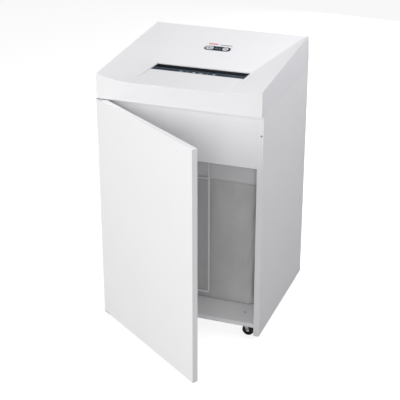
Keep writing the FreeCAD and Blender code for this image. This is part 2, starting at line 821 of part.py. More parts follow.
def make_door_switch():
    face = vec(switch_x, cabinet_front_y, switch_z)
    sleeve = rod(switch_radius, face, vec(switch_x, cabinet_front_y + switch_length, switch_z))
    collar = rod(switch_radius + switch_collar, vec(switch_x, cabinet_front_y - 0.8, switch_z), face)
    bore = rod(plunger_radius + running_gap, vec(switch_x, cabinet_front_y - 1, switch_z),
               vec(switch_x, cabinet_front_y + 20, switch_z))
    return fused([sleeve, collar]).cut(bore)


def make_switch_plunger():
    return rod(plunger_radius, vec(switch_x, cabinet_front_y - plunger_proud, switch_z),
               vec(switch_x, cabinet_front_y + plunger_length, switch_z))


def make_power_inlet():
    outer = back_face_y
    flange = block(inlet_x - 16, inlet_x + 16, outer, outer + 2.5, inlet_z - 14, inlet_z + 14)
    body = block(inlet_x - 13.5, inlet_x + 13.5, outer - 24, outer, inlet_z - 10, inlet_z + 10)
    cavity = block(inlet_x - 12, inlet_x + 12, outer - 15, outer + 3, inlet_z - 8.25, inlet_z + 8.25)
    blades = [block(inlet_x + x - 1, inlet_x + x + 1, outer - 15, outer - 1, inlet_z + z - 2, inlet_z + z + 2)
              for x, z in ((-7, 1), (0, -3), (7, 1))]
    return fused([fused([flange, body]).cut(cavity)] + blades)


def make_switch_frame():
    outer = back_face_y
    flange = block(rocker_x - 13, rocker_x + 13, outer, outer + 2, inlet_z - 16, inlet_z + 16)
    body = block(rocker_x - 10, rocker_x + 10, outer - 20, outer, inlet_z - 13, inlet_z + 13)
    cavity = block(rocker_x - 8, rocker_x + 8, outer - 17, outer + 3, inlet_z - 11.5, inlet_z + 11.5)
    return fused([fused([flange, body]).cut(cavity), rocker_axle(rocker_axle_radius)])


def rocker_axle(radius):
    y = back_face_y - rocker_axle_depth
    return rod(radius, vec(rocker_x - 9, y, inlet_z), vec(rocker_x + 9, y, inlet_z))


def make_mains_rocker():
    """A shallow V-faced rocker on the frame's axle, lying at its off position."""
    outer = back_face_y
    rocker = polygon_x([(outer - 8, inlet_z - 7), (outer + 4.5, inlet_z - 10.2), (outer + 2.2, inlet_z),
                        (outer + 4.5, inlet_z + 10.2), (outer - 8, inlet_z + 7)],
                       rocker_x - rocker_half, rocker_x + rocker_half)
    rocker = rocker.cut(rocker_axle(rocker_axle_radius + running_gap))
    rocker.rotate(vec(rocker_x, outer - rocker_axle_depth, inlet_z), X_AXIS, rocker_tilt)
    return rocker


def caster_places():
    return {"front_left": (-caster_x, caster_front_y), "front_right": (caster_x, caster_front_y),
            "rear_left": (-caster_x, caster_rear_y), "rear_right": (caster_x, caster_rear_y)}


def make_caster_plates():
    """Four top plates under the cabinet floor, each with its bearing cup and kingpin."""
    plates = []
    for x, y in caster_places().values():
        plate_z = floor_bottom_z - caster_plate
        nut_z = fork_top_z - fork_thickness - swivel_gap
        plate = rounded_block(x - 26, x + 26, y - 22, y + 22, plate_z, floor_bottom_z, 5)
        pin = rod(kingpin_radius, vec(x, y, plate_z), vec(x, y, nut_z))
        nut = rod(kingpin_radius + 1, vec(x, y, nut_z), vec(x, y, nut_z - 1.4))
        plates.append(fused([plate, pin, nut]))
    return Part.makeCompound(plates)


def make_caster_fork(x, y):
    """A pressed fork round the kingpin, with a cheek on each side of the wheel and the axle between."""
    axle_x = x + caster_trail
    inside = wheel_half_width + cheek_space
    outside = inside + cheek_thickness
    disc = rod(13, vec(x, y, fork_top_z - fork_thickness), vec(x, y, fork_top_z))
    roof = block(x - 9, axle_x + 4, y - outside, y + outside, fork_top_z - fork_thickness, fork_top_z)
    cheeks = []
    for side in (-1, 1):
        y0, y1 = sorted((y + side * inside, y + side * outside))
        outline = [vec(x - 9, y0, fork_top_z), vec(axle_x + 4, y0, fork_top_z),
                   vec(axle_x + cheek_end, y0, wheel_radius), vec(axle_x - cheek_end, y0, wheel_radius)]
        cheek = Part.Face(Part.makePolygon(outline + outline[:1])).extrude(vec(0, y1 - y0, 0))
        eye = rod(cheek_end, vec(axle_x, y0, wheel_radius), vec(axle_x, y1, wheel_radius))
        cheeks.append(cheek.fuse(eye))
    axle = rod(axle_radius, vec(axle_x, y - outside - 1, wheel_radius),
               vec(axle_x, y + outside + 1, wheel_radius))
    body = fused([disc, roof] + cheeks + [axle])
    return body.cut(rod(kingpin_radius + running_gap, vec(x, y, fork_top_z - 3), vec(x, y, fork_top_z + 1)))


def make_caster_wheel(x, y):
    axle_x = x + caster_trail
    wheel = rod(wheel_radius, vec(axle_x, y - wheel_half_width, wheel_radius),
                vec(axle_x, y + wheel_half_width, wheel_radius))
    rims = [e for e in wheel.Edges if e.Length > wheel_radius and len(e.Vertexes) == 1]
    wheel = wheel.makeFillet(wheel_round, rims)
    bore = rod(axle_radius + running_gap, vec(axle_x, y - 20, wheel_radius),
               vec(axle_x, y + 20, wheel_radius))
    return wheel.cut(bore)


nodes = {
    "left_side_panel": make_side_panel(-1),
    "right_side_panel": make_side_panel(1),
    "rear_panel": make_rear_panel(),
    "cabinet_floor": make_cabinet_floor(),
    "front_apron": make_front_apron(),
    "hood": make_hood(),
    "feed_table": make_feed_table(),
    "inlet_throat": make_inlet_throat(),
    "inlet_guide": make_inlet_guide(),
    "paper_sensor": make_paper_sensor(),
    "control_bezel": make_control_bezel(),
    "start_button": make_start_button(),
    "reverse_button": make_reverse_button(),
    "status_lights": make_status_lights(),
    "control_board": make_control_board(),
    "front_unit_beam": make_unit_beam(front_beam_y),
    "rear_unit_beam": make_unit_beam(rear_beam_y),
    "left_bearing_plate": make_bearing_plate(-1),
    "right_bearing_plate": make_bearing_plate(1),
    "tie_rods": make_tie_rods(),
    "frame_screws": make_frame_screws(),
    "shaft_bearings": make_shaft_bearings(),
    "front_cutter": turned(cutter_steps(first_disc_x, pair_x1 + 2), front_shaft_y, cutter_z),
    "rear_cutter": turned(cutter_steps(first_disc_x + disc_pitch / 2, drive_x1 + 2), rear_shaft_y, cutter_z),
    "front_cutter_gear": gear(cutter_teeth, pair_x0, pair_x1, front_shaft_y, cutter_z, 0.0, journal_radius),
    "rear_cutter_gear": gear(cutter_teeth, pair_x0, pair_x1, rear_shaft_y, cutter_z,
                             meshing_angle(cutter_teeth), journal_radius),
    "drive_gear": gear(drive_teeth, drive_x0, drive_x1, rear_shaft_y, cutter_z, 0.0, journal_radius),
    "reduction_gear": make_reduction_gear(),
    "motor_rotor": make_motor_rotor(),
    "motor_housing": make_motor_housing(),
    "gear_cover": make_gear_cover(),
    "capacitor": make_capacitor(),
    "front_comb": make_comb(front_shaft_y, -1, first_disc_x),
    "rear_comb": make_comb(rear_shaft_y, 1, first_disc_x + disc_pitch / 2),
    "shred_chute": make_chute(),
    "bag_rails": make_bag_rails(),
    "bag_frame": make_bag_frame(),
    "waste_bag": make_waste_bag(),
    "bag_cuff": make_bag_cuff(),
    "bag_full_wire": make_bag_full_wire(),
    "wire_brackets": make_wire_brackets(),
    "door_panel": make_door_panel(),
    "door_pivots": make_door_pivots(),
    "lower_hinge": make_lower_hinge(),
    "magnet_catch": make_magnet_catch(),
    "catch_plate": make_catch_plate(),
    "door_switch": make_door_switch(),
    "switch_plunger": make_switch_plunger(),
    "power_inlet": make_power_inlet(),
    "switch_frame": make_switch_frame(),
    "mains_rocker": make_mains_rocker(),
    "caster_plates": make_caster_plates(),
}
for corner, (x, y) in caster_places().items():
    nodes["caster_fork_" + corner] = make_caster_fork(x, y)
    nodes["caster_wheel_" + corner] = make_caster_wheel(x, y)

os.makedirs("parts", exist_ok=True)
for name, shape in nodes.items():
    if not shape.isValid():
        print(name, "is not valid")
    shape.exportStep("parts/" + name + ".step")
print(len(nodes), "nodes")
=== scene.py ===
import bmesh
import bpy
import json
import math
from mathutils import Matrix, Vector, noise


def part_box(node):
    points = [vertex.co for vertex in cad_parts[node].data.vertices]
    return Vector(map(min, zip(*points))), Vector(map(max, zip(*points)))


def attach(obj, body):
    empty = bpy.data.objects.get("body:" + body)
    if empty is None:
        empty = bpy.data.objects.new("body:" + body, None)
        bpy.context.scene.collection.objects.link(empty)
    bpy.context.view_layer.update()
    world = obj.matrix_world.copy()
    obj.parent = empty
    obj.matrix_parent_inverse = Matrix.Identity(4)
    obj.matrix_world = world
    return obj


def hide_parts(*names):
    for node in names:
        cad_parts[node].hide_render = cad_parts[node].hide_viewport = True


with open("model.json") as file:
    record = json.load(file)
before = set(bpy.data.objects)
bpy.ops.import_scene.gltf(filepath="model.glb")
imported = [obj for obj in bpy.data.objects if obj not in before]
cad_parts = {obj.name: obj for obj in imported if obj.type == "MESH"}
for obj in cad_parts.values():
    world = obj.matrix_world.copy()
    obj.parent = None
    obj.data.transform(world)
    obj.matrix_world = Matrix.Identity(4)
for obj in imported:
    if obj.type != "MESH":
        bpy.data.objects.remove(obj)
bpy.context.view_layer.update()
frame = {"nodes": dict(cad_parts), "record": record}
nodes = frame["nodes"]
bodyOf = {node: body for body, members in frame["record"]["behaviour"]["bodies"].items() for node in members}
slotOf = {part["node"]: part["material_slot"] for part in frame["record"]["subparts"]}
print("frame loaded,", len(nodes), "nodes")


class Value:  # a node's output socket that can be used in sums
    def __init__(self, look, socket):
        self.look = look
        self.socket = socket

    def maths(self, operation, first, second=None):
        return self.look.node("ShaderNodeMath", {"operation": operation}, [first, second])

    def __add__(self, other):
        return self.maths("ADD", self, other)

    def __sub__(self, other):
        return self.maths("SUBTRACT", self, other)

    def __mul__(self, other):
        return self.maths("MULTIPLY", self, other)

    def __rsub__(self, other):
        return self.maths("SUBTRACT", other, self)

    __radd__ = __add__
    __rmul__ = __mul__


class Look:  # one material and its node tree
    def __init__(self, name):
        self.material = bpy.data.materials.new(name)
        self.material.use_nodes = True
        self.tree = self.material.node_tree
        self.shader = self.tree.nodes["Principled BSDF"]
        self.place = self.node("ShaderNodeTexCoord", {}, {}, "Object")

    def node(self, kind, settings, inputs, output=0):
        made = self.tree.nodes.new(kind)
        for key, setting in settings.items():
            setattr(made, key, setting)
        pairs = enumerate(inputs) if isinstance(inputs, list) else inputs.items()
        for key, given in pairs:
            if given is not None:
                self.feed(made.inputs[key], given)
        return Value(self, made.outputs[output])

    def feed(self, socket, given):
        if isinstance(given, Value):
            self.tree.links.new(given.socket, socket)
        elif isinstance(given, tuple) and socket.type == "RGBA":
            socket.default_value = (*given, 1.0)
        else:
            socket.default_value = given

    def noise(self, scale, detail=3.0, rough=0.5, place=None, distortion=0.0):
        inputs = {"Vector": place or self.place, "Scale": scale, "Detail": detail, "Roughness": rough,
                  "Distortion": distortion}
        return self.node("ShaderNodeTexNoise", {}, inputs)

    def stretched(self, scale):  # object coordinates, stretched by axis
        return self.node("ShaderNodeMapping", {}, {"Vector": self.place, "Scale": scale})

    def axes(self):  # the three object coordinates on their own
        split = self.node("ShaderNodeSeparateXYZ", {}, {"Vector": self.place})
        return [Value(self, output) for output in split.socket.node.outputs]

    def ramp(self, value, low, high, first=0.0, last=1.0):
        return self.node("ShaderNodeMapRange", {}, {"Value": value, "From Min": low, "From Max": high,
                                                    "To Min": first, "To Max": last})

    def mixed(self, share, first, second):
        return self.node("ShaderNodeMix", {"data_type": "RGBA"}, {0: share, 6: first, 7: second}, 2)

    def bump(self, height, distance, strength=1.0):
        return self.node("ShaderNodeBump", {}, {"Height": height, "Distance": distance, "Strength": strength})

    def set(self, **inputs):
        for name, given in inputs.items():
            self.feed(self.shader.inputs[spelt[name]], given)
        return self


spelt = {"colour": "Base Color", "rough": "Roughness", "metal": "Metallic", "coat": "Coat Weight",
         "coatRough": "Coat Roughness", "alpha": "Alpha", "normal": "Normal", "glow": "Emission Color",
         "glowStrength": "Emission Strength", "specular": "Specular IOR Level"}


def shade(colour, change):
    return tuple(max(0.0, min(1.0, channel * change)) for channel in colour)


def whiteLaminate(name, colour):  # satin melamine, with a fine pebble and the odd handled patch
    look = Look(name)
    cloud = look.noise(4.0, 2.0)
    pebble = look.noise(1400.0, 2.0, 0.6)
    handled = look.ramp(look.noise(9.0, 5.0, 0.65), 0.45, 0.75)
    look.set(colour=look.mixed(cloud, shade(colour, 0.985), shade(colour, 1.01)),
             rough=0.34 + pebble * 0.10 + handled * 0.07,
             normal=look.bump(pebble + look.noise(260.0, 2.0) * 0.6, 0.00006, 0.35), specular=0.42)
    return look.material


def mouldedPlastic(name, colour, rough=0.42, grain=1100.0, depth=0.00008, variation=0.02, coat=0.0,
                   shine=0.45):  # fine spark-eroded grain, rubbed smoother in patches
    look = Look(name)
    spark = look.node("ShaderNodeTexVoronoi", {"feature": "SMOOTH_F1"},
                      {"Vector": look.place, "Scale": grain})
    cloud = look.noise(6.0, 3.0)
    rubbed = look.ramp(look.noise(22.0, 5.0, 0.7), 0.5, 0.8)
    look.set(colour=look.mixed(cloud, shade(colour, 1 - variation), shade(colour, 1 + variation)),
             rough=rough + spark * 0.10 - rubbed * 0.05,
             normal=look.bump(spark + look.noise(grain * 0.4) * 0.5, depth, 0.4), specular=shine)
    if coat:
        look.set(coat=coat, coatRough=0.08)
    return look.material


def metalLook(name, colour, rough, brushAxis=(1.0, 60.0, 60.0), stain=0.25):
    look = Look(name)
    brush = look.noise(14.0, 4.0, 0.6, look.stretched(brushAxis))
    film = look.ramp(look.noise(35.0, 5.0, 0.7), 0.45, 0.8)
    look.set(colour=look.mixed(film * stain, colour, shade(colour, 0.55)), metal=1.0,
             rough=rough + brush * 0.12 + film * 0.12, normal=look.bump(brush, 0.00005, 0.4))
    return look.material


def paintedMetal(name, colour, rough=0.4):
    look = Look(name)
    peel = look.noise(420.0, 2.0)
    wear = look.ramp(look.noise(60.0, 6.0, 0.75), 0.62, 0.72)
    look.set(colour=look.mixed(wear * 0.3, colour, shade(colour, 0.8)), rough=rough + peel * 0.08,
             normal=look.bump(peel, 0.00008, 0.35), coat=0.2, coatRough=0.3)
    return look.material


# the waste bag: one film, up the inside of its frame, over the top and down outside as a cuff
bag = {
    "around": 208, "floorRings": 14, "heelRings": 3, "wallRings": 46, "overRings": 5, "cuffRings": 9,
    "cornerRadius": 0.024, "middleY": 0.0435, "heelRadius": 0.006,
    "baseZ": 0.0612, "topZ": 0.5934, "cuffZ": 0.5052,
    "insideGrow": -0.0008, "outsideGrow": 0.0057, "taperX": 0.006, "taperY": 0.005, "film": 0.0003,
    "foldDepth": 0.012, "floorWrinkle": 0.0035, "pullReach": 0.16, "pullFolds": 13.0,
    "cuffWave": 0.0008, "cuffDip": 0.003, "cuffInner": 0.0045,
    "tabSpace": 0.0008, "tabMiddles": (-0.060, 0.150), "tabHalf": 0.010, "tabHeight": 0.004, "tabLift": 0.002,
    "tabInside": 0.003, "packetFolds": ((0.03, 0.065), (0.0, 0.08), (0.02, 0.09)),
    "flat": (1.53, 0.80), "area": 1.09,
}
bagCloth = {"frames": 26, "quality": 6, "mass": 0.12, "stretch": 12.0, "bending": 0.15, "slack": -0.012,
            "mostMove": 0.006, "heldRim": 0.022}


def bagPolythene(name):  # cloudy grey film, creased where it was folded in its packet
    look = Look(name)
    crease = look.noise(13.0, 3.0, 0.45, look.stretched((1.0, 1.0, 0.16)), 0.4)
    fine = look.noise(60.0, 4.0, 0.5, look.stretched((1.0, 1.0, 0.22)), 0.3)
    haze = look.ramp(look.noise(6.0, 3.0), 0.3, 0.7)
    packetFolds = 0
    for axis, (start, pitch) in zip(look.axes(), bag["packetFolds"]):
        toFold = look.node("ShaderNodeMath", {"operation": "PINGPONG"}, [axis + start, pitch])
        packetFolds = look.ramp(toFold, 0.0, 0.004) + packetFolds
    single = look.mixed(haze, (0.572, 0.568, 0.570), (0.630, 0.624, 0.627))
    doubled = look.ramp(look.axes()[2], bag["cuffZ"] - 0.001, bag["cuffZ"] + 0.001)
    look.set(colour=look.mixed(doubled, single, (0.74, 0.728, 0.733)),
             rough=0.24 + fine * 0.12, alpha=0.87 + haze * 0.07,
             normal=look.bump(crease + fine * 0.12 + packetFolds * 0.05, 0.004, 0.35), specular=0.7)
    return look.material


def rubberTyre(name):
    look = Look(name)
    dust = look.ramp(look.noise(180.0, 6.0, 0.7), 0.45, 0.75)
    look.set(colour=look.mixed(dust * 0.25, (0.008, 0.008, 0.009), (0.05, 0.048, 0.046)),
             rough=0.55 + dust * 0.25, normal=look.bump(look.noise(900.0), 0.00012, 0.5))
    return look.material


def clearLens(name, colour):
    look = Look(name)
    look.set(colour=look.mixed(look.noise(300.0), colour, shade(colour, 0.8)), rough=0.12, coat=0.6,
             specular=0.6)
    return look.material


def circuitBoard(name):
    look = Look(name)
    track = look.node("ShaderNodeTexBrick", {},
                      {"Vector": look.place, "Scale": 160.0, "Mortar Size": 0.08}, 1)
    look.set(colour=look.mixed(track, (0.02, 0.13, 0.06), (0.10, 0.30, 0.14)), rough=0.35,
             normal=look.bump(track, 0.0001, 0.4), coat=0.4)
    return look.material


looks = {
    "white_board": whiteLaminate("whiteBoard", (0.865, 0.865, 0.872)),
    "white_plastic": mouldedPlastic("whiteHood", (0.842, 0.842, 0.851), 0.40, 1300.0),
    "dark_plastic": mouldedPlastic("blackMoulding", (0.002, 0.006, 0.011), 0.50, 900.0, variation=0.2,
                                   shine=0.22),
    "slate_plastic": mouldedPlastic("slateMoulding", (0.005, 0.024, 0.046), 0.50, 900.0, variation=0.06,
                                    shine=0.30),
    "navy_plastic": mouldedPlastic("navyPanel", (0.006, 0.012, 0.024), 0.34, 700.0, 0.00003, 0.08, 0.15,
                                   0.30),
    "grey_button": mouldedPlastic("greyKey", (0.56, 0.58, 0.60), 0.36, 1500.0, variation=0.03),
    "light_lens": clearLens("statusLens", (0.62, 0.70, 0.66)),
    "circuit_board": circuitBoard("solderMask"),
    "frame_steel": metalLook("zincSteel", (0.62, 0.63, 0.65), 0.36),
    "bright_steel": metalLook("brightSteel", (0.74, 0.74, 0.76), 0.24, stain=0.12),
    "cutter_steel": metalLook("oiledCutter", (0.30, 0.30, 0.32), 0.28, (60.0, 1.0, 1.0), 0.5),
    "bearing_bronze": metalLook("sinteredBronze", (0.58, 0.40, 0.22), 0.38),
    "motor_paint": paintedMetal("motorPaint", (0.03, 0.032, 0.035), 0.38),
    "bag_film": bagPolythene("greyFilm"),
    "white_wire": paintedMetal("whiteCoatedWire", (0.86, 0.86, 0.865), 0.34),
    "caster_fork": metalLook("pressedZinc", (0.72, 0.73, 0.74), 0.34, (8.0, 8.0, 8.0), 0.2),
    "caster_tyre": rubberTyre("blackTyre"),
}
hubPlastic = mouldedPlastic("darkHub", (0.018, 0.018, 0.020), 0.40, 1200.0)
redPrint = mouldedPlastic("redStrip", (0.68, 0.09, 0.05), 0.40, 1400.0)
greyPrint = mouldedPlastic("greyStrip", (0.26, 0.28, 0.31), 0.40, 1400.0)
paleInk = mouldedPlastic("paleMark", (0.80, 0.84, 0.88), 0.45, 1500.0)
for node, obj in nodes.items():
    if not obj.material_slots:
        obj.data.materials.append(None)
    for materialSlot in obj.material_slots:
        materialSlot.material = looks[slotOf[node]]
print("materials made,", len(bpy.data.materials))


def shadeFlatFaces(piece):  # broad faces keep their own normals beside eased edges
    weighted = piece.modifiers.new("broadFaces", "WEIGHTED_NORMAL")
    weighted.mode = "FACE_AREA"
    weighted.weight = 100
    weighted.keep_sharp = True


def addPiece(name, shape, body, slotName, material=None, smoothDeg=30.0, replaced=()):
    mesh = bpy.data.meshes.new(name)
    shape.to_mesh(mesh)
    shape.free()
    piece = bpy.data.objects.new(name, mesh)
    bpy.context.scene.collection.objects.link(piece)
    mesh.materials.append(material or looks[slotName])
    mesh.shade_smooth()
    mesh.set_sharp_from_angle(angle=math.radians(smoothDeg))
    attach(piece, body)
    if replaced:
        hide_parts(*replaced)
    return piece


def mergedCopy(node, flatDeg=0.6):  # a CAD node's surface as one joined mesh with its flat faces whole
    shape = bmesh.new()
    shape.from_mesh(nodes[node].data)
    bmesh.ops.remove_doubles(shape, verts=shape.verts, dist=0.000005)
    bmesh.ops.recalc_face_normals(shape, faces=shape.faces)
    bmesh.ops.dissolve_limit(shape, angle_limit=math.radians(flatDeg), verts=shape.verts,
                             edges=shape.edges, use_dissolve_boundaries=False)
    return shape


def sharpEdges(shape, leastDeg=28.0):
    return [edge for edge in shape.edges
            if len(edge.link_faces) == 2 and edge.calc_face_angle(0.0) > math.radians(leastDeg)]


def rounded(shape, edges, width, segments=3):
    bmesh.ops.bevel(shape, geom=edges, offset=width, offset_type="OFFSET", affect="EDGES",
                    segments=segments, profile=0.5, material=-1, clamp_overlap=True)


def softened(node, name, width, segments=3, slotName=None):  # the node with its edges eased
    shape = mergedCopy(node)
    if width:
        rounded(shape, sharpEdges(shape), width, segments)
    return addPiece(name, shape, bodyOf[node], slotName or slotOf[node], replaced=[node])


boards = {
    "edge": 0.0009, "segments": 3,
    "names": {"door_panel": "doorBoard", "left_side_panel": "leftSideBoard",
              "right_side_panel": "rightSideBoard", "front_apron": "apronBoard",
              "cabinet_floor": "floorBoard", "rear_panel": "rearBoard"},
}
for node, name in boards["names"].items():
    shadeFlatFaces(softened(node, name, boards["edge"], boards["segments"]))
print("boards eased")

hood = {"edge": 0.0012, "baseEdge": 0.0004, "segments": 3, "leastDeg": 20.0, "plateEdge": 0.0006,
        "stripEdge": 0.0005}


def makeHood():
    shape = mergedCopy("hood")
    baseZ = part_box("hood")[0][2]
    edges = sharpEdges(shape, hood["leastDeg"])
    base = [edge for edge in edges if all(abs(vert.co.z - baseZ) < 0.0001 for vert in edge.verts)]
    rounded(shape, [edge for edge in edges if edge not in base], hood["edge"], hood["segments"])
    shadeFlatFaces(addPiece("hoodMoulding", shape, bodyOf["hood"], "white_plastic", replaced=["hood"]))


makeHood()
shadeFlatFaces(softened("feed_table", "feedTablePlate", hood["plateEdge"], 2))
softened("inlet_guide", "feedGuideStrip", hood["stripEdge"], 2)
print("hood eased")

# small parts: how far each one's edges are eased, 0 where it only needs its curves smooth
easedParts = {
    "control_bezel": 0.0003, "start_button": 0.0, "reverse_button": 0.0, "status_lights": 0.0002,
    "inlet_throat": 0.0004, "paper_sensor": 0.0004, "front_unit_beam": 0.0008, "rear_unit_beam": 0.0008,
    "left_bearing_plate": 0.0004, "right_bearing_plate": 0.0004, "tie_rods": 0.0, "frame_screws": 0.0004,
    "shaft_bearings": 0.0, "front_cutter": 0.0, "rear_cutter": 0.0, "front_cutter_gear": 0.0,
    "rear_cutter_gear": 0.0, "drive_gear": 0.0, "reduction_gear": 0.0, "motor_rotor": 0.0,
    "motor_housing": 0.0008, "gear_cover": 0.0012, "capacitor": 0.001, "shred_chute": 0.0006,
    "bag_rails": 0.0003, "bag_frame": 0.0004, "bag_full_wire": 0.0, "wire_brackets": 0.0005,
    "door_pivots": 0.0003, "lower_hinge": 0.0003, "magnet_catch": 0.001, "catch_plate": 0.0002,
    "switch_plunger": 0.0003, "power_inlet": 0.0005, "switch_frame": 0.0005, "mains_rocker": 0.0004,
    "caster_plates": 0.0004,
}


def camelName(node):
    first, *rest = node.split("_")
    return first + "".join(word.capitalize() for word in rest) + "Piece"


for node, width in easedParts.items():
    softened(node, camelName(node), width, 2)
softened("door_switch", "doorSwitchSleeve", 0.0002, 2, slotName="grey_button")
print("small parts eased,", len(easedParts))


def spunShape(outline, steps):  # a closed outline of (radius, along) corners, spun round the Y axis
    shape = bmesh.new()
    corners = [shape.verts.new((radius, along, 0.0)) for radius, along in outline]
    for first, second in zip(corners, corners[1:] + corners[:1]):
        shape.edges.new((first, second))
    bmesh.ops.spin(shape, geom=shape.verts[:] + shape.edges[:], cent=(0, 0, 0), axis=(0, 1, 0),
                   dvec=(0, 0, 0), angle=2 * math.pi, steps=steps, use_merge=True)
    bmesh.ops.remove_doubles(shape, verts=shape.verts, dist=0.000001)
    bmesh.ops.recalc_face_normals(shape, faces=shape.faces)
    return shape


def bothSides(outline):  # one half of a wheel's outline, and its mirror image to close it
    return outline + [(radius, -along) for radius, along in reversed(outline)]


def slab(shape, size, place, slope=0.0, ease=0.0):  # a block whose top leans along X by slope
    made = bmesh.ops.create_cube(shape, size=1.0)["verts"]
    bmesh.ops.scale(shape, vec=size, verts=made)
    bmesh.ops.translate(shape, vec=(slope, 0, 0), verts=[vert for vert in made if vert.co.z > 0])
    bmesh.ops.translate(shape, vec=place, verts=made)
    if ease:
        edges = {edge for vert in made for edge in vert.link_edges}
        rounded(shape, list(edges), ease, 2)


def barrel(shape, radius, length, place, turn, endRadius=None, ease=0.0, segments=32):
    made = bmesh.ops.create_cone(shape, cap_ends=True, segments=segments, radius1=radius,
                                 radius2=endRadius or radius, depth=length,
                                 matrix=Matrix.Translation(place) @ turn)["verts"]
    if ease:
        edges = {edge for vert in made for edge in vert.link_edges
                 if edge.calc_face_angle(0.0) > math.radians(50)}
        rounded(shape, list(edges), ease, 2)


upright = Matrix.Identity(4)
alongY = Matrix.Rotation(math.radians(90), 4, "X")
wheelSize = {
    "tyreDepth": 0.0058, "shoulder": 0.0011, "flank": 0.45, "groove": 0.0006, "rimOut": 0.0012,
    "seat": 0.00255, "boss": 0.0056, "bossOut": 0.0003, "bossTaper": 0.0006, "webHalf": 0.0030,
    "rimInner": 0.0022, "rimOuter": 0.0012, "rimStep": 0.0004, "hubEdge": 0.0003, "steps": 56,
}
forkSize = {
    "cupRadius": 0.013, "cupTop": 0.0105, "cupEdge": 0.0005, "roofDepth": 0.0024, "roofBack": 0.009,
    "roofEdge": 0.0007, "cheek": 0.0016, "cheekEdge": 0.0005, "armWidth": 0.0115, "armTop": 0.004,
    "eye": 0.0056, "rivet": 0.0038, "rivetOut": 0.0011, "rivetEdge": 0.0004, "axleGap": 0.0001,
}


def makeCaster(corner):
    low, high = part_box("caster_wheel_" + corner)
    forkLow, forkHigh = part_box("caster_fork_" + corner)
    axle = Vector(((low[0] + high[0]) / 2, (low[1] + high[1]) / 2, (low[2] + high[2]) / 2))
    radius, halfWidth = (high[2] - low[2]) / 2, (high[1] - low[1]) / 2
    kingpinX = forkLow[0] + forkSize["cupRadius"]
    outside = (forkHigh[1] - forkLow[1]) / 2 - forkSize["rivetOut"]
    rimRadius = radius - wheelSize["tyreDepth"]

    tyreOutline = [(rimRadius, -halfWidth + wheelSize["rimOut"]), (rimRadius, -halfWidth),
                   (radius - wheelSize["groove"], -halfWidth), (radius, -halfWidth * wheelSize["flank"])]
    tyre = spunShape(bothSides(tyreOutline), wheelSize["steps"])
    rounded(tyre, sharpEdges(tyre, 60.0), wheelSize["shoulder"], 3)
    bmesh.ops.translate(tyre, vec=axle, verts=tyre.verts)
    wheelBody = "caster_wheel_" + corner
    addPiece("casterTyre_" + corner, tyre, wheelBody, "caster_tyre", replaced=[wheelBody])

    bossEnd = -halfWidth - wheelSize["bossOut"]
    rimEnd = -halfWidth + wheelSize["rimOut"] + wheelSize["rimStep"]
    hubOutline = [(wheelSize["seat"], bossEnd), (wheelSize["boss"], bossEnd),
                  (wheelSize["boss"] + wheelSize["bossTaper"], -wheelSize["webHalf"]),
                  (rimRadius - wheelSize["rimInner"], -wheelSize["webHalf"]),
                  (rimRadius - wheelSize["rimOuter"], rimEnd), (rimRadius, rimEnd)]
    hub = spunShape(bothSides(hubOutline), wheelSize["steps"])
    rounded(hub, sharpEdges(hub, 50.0), wheelSize["hubEdge"], 2)
    bmesh.ops.translate(hub, vec=axle, verts=hub.verts)
    addPiece("casterHub_" + corner, hub, wheelBody, "dark_plastic", hubPlastic)

    fork = bmesh.new()
    top = forkHigh[2]
    depth = forkSize["roofDepth"]
    roofZ = top - depth / 2
    barrel(fork, forkSize["cupRadius"], depth, (kingpinX, axle.y, roofZ), upright, forkSize["cupTop"],
           forkSize["cupEdge"])
    roofEnd = axle.x + forkSize["armTop"]
    roofStart = kingpinX - forkSize["roofBack"]
    slab(fork, (roofEnd - roofStart, 2 * outside, depth), ((roofStart + roofEnd) / 2, axle.y, roofZ),
         ease=forkSize["roofEdge"])
    for side in (-1, 1):
        cheekY = axle.y + side * (outside - forkSize["cheek"] / 2)
        rivetY = axle.y + side * (outside + forkSize["rivetOut"] / 2)
        slab(fork, (forkSize["armWidth"], forkSize["cheek"], top - axle.z),
             (axle.x, cheekY, (top + axle.z) / 2), kingpinX - axle.x + forkSize["armTop"],
             forkSize["cheekEdge"])
        barrel(fork, forkSize["eye"], forkSize["cheek"], (axle.x, cheekY, axle.z), alongY,
               ease=forkSize["rivetEdge"])
        barrel(fork, forkSize["rivet"], forkSize["rivetOut"], (axle.x, rivetY, axle.z), alongY,
               ease=forkSize["rivetEdge"])
    barrel(fork, wheelSize["seat"] - forkSize["axleGap"], 2 * outside, axle, alongY)
    bmesh.ops.recalc_face_normals(fork, faces=fork.faces)
    forkBody = "caster_fork_" + corner
    addPiece("casterFork_" + corner, fork, forkBody, "caster_fork", replaced=[forkBody])


for corner in ("front_left", "front_right", "rear_left", "rear_right"):
    makeCaster(corner)
print("casters made")


def stadiumShape(length, height, thickness):  # a plate with half-round ends, flat on the ground plane
    shape = bmesh.new()
    bmesh.ops.create_circle(shape, cap_ends=True, segments=32, radius=height / 2)
    for side in (-1, 1):
        half = [vert for vert in shape.verts if vert.co.x * side > 0.000001]
        bmesh.ops.translate(shape, vec=(side * (length - height) / 2, 0, 0), verts=half)
    raised = bmesh.ops.extrude_face_region(shape, geom=shape.faces[:])["geom"]
    top = [item for item in raised if isinstance(item, bmesh.types.BMVert)]
    bmesh.ops.translate(shape, vec=(0, 0, thickness), verts=top)
    bmesh.ops.recalc_face_normals(shape, faces=shape.faces)
    return shape


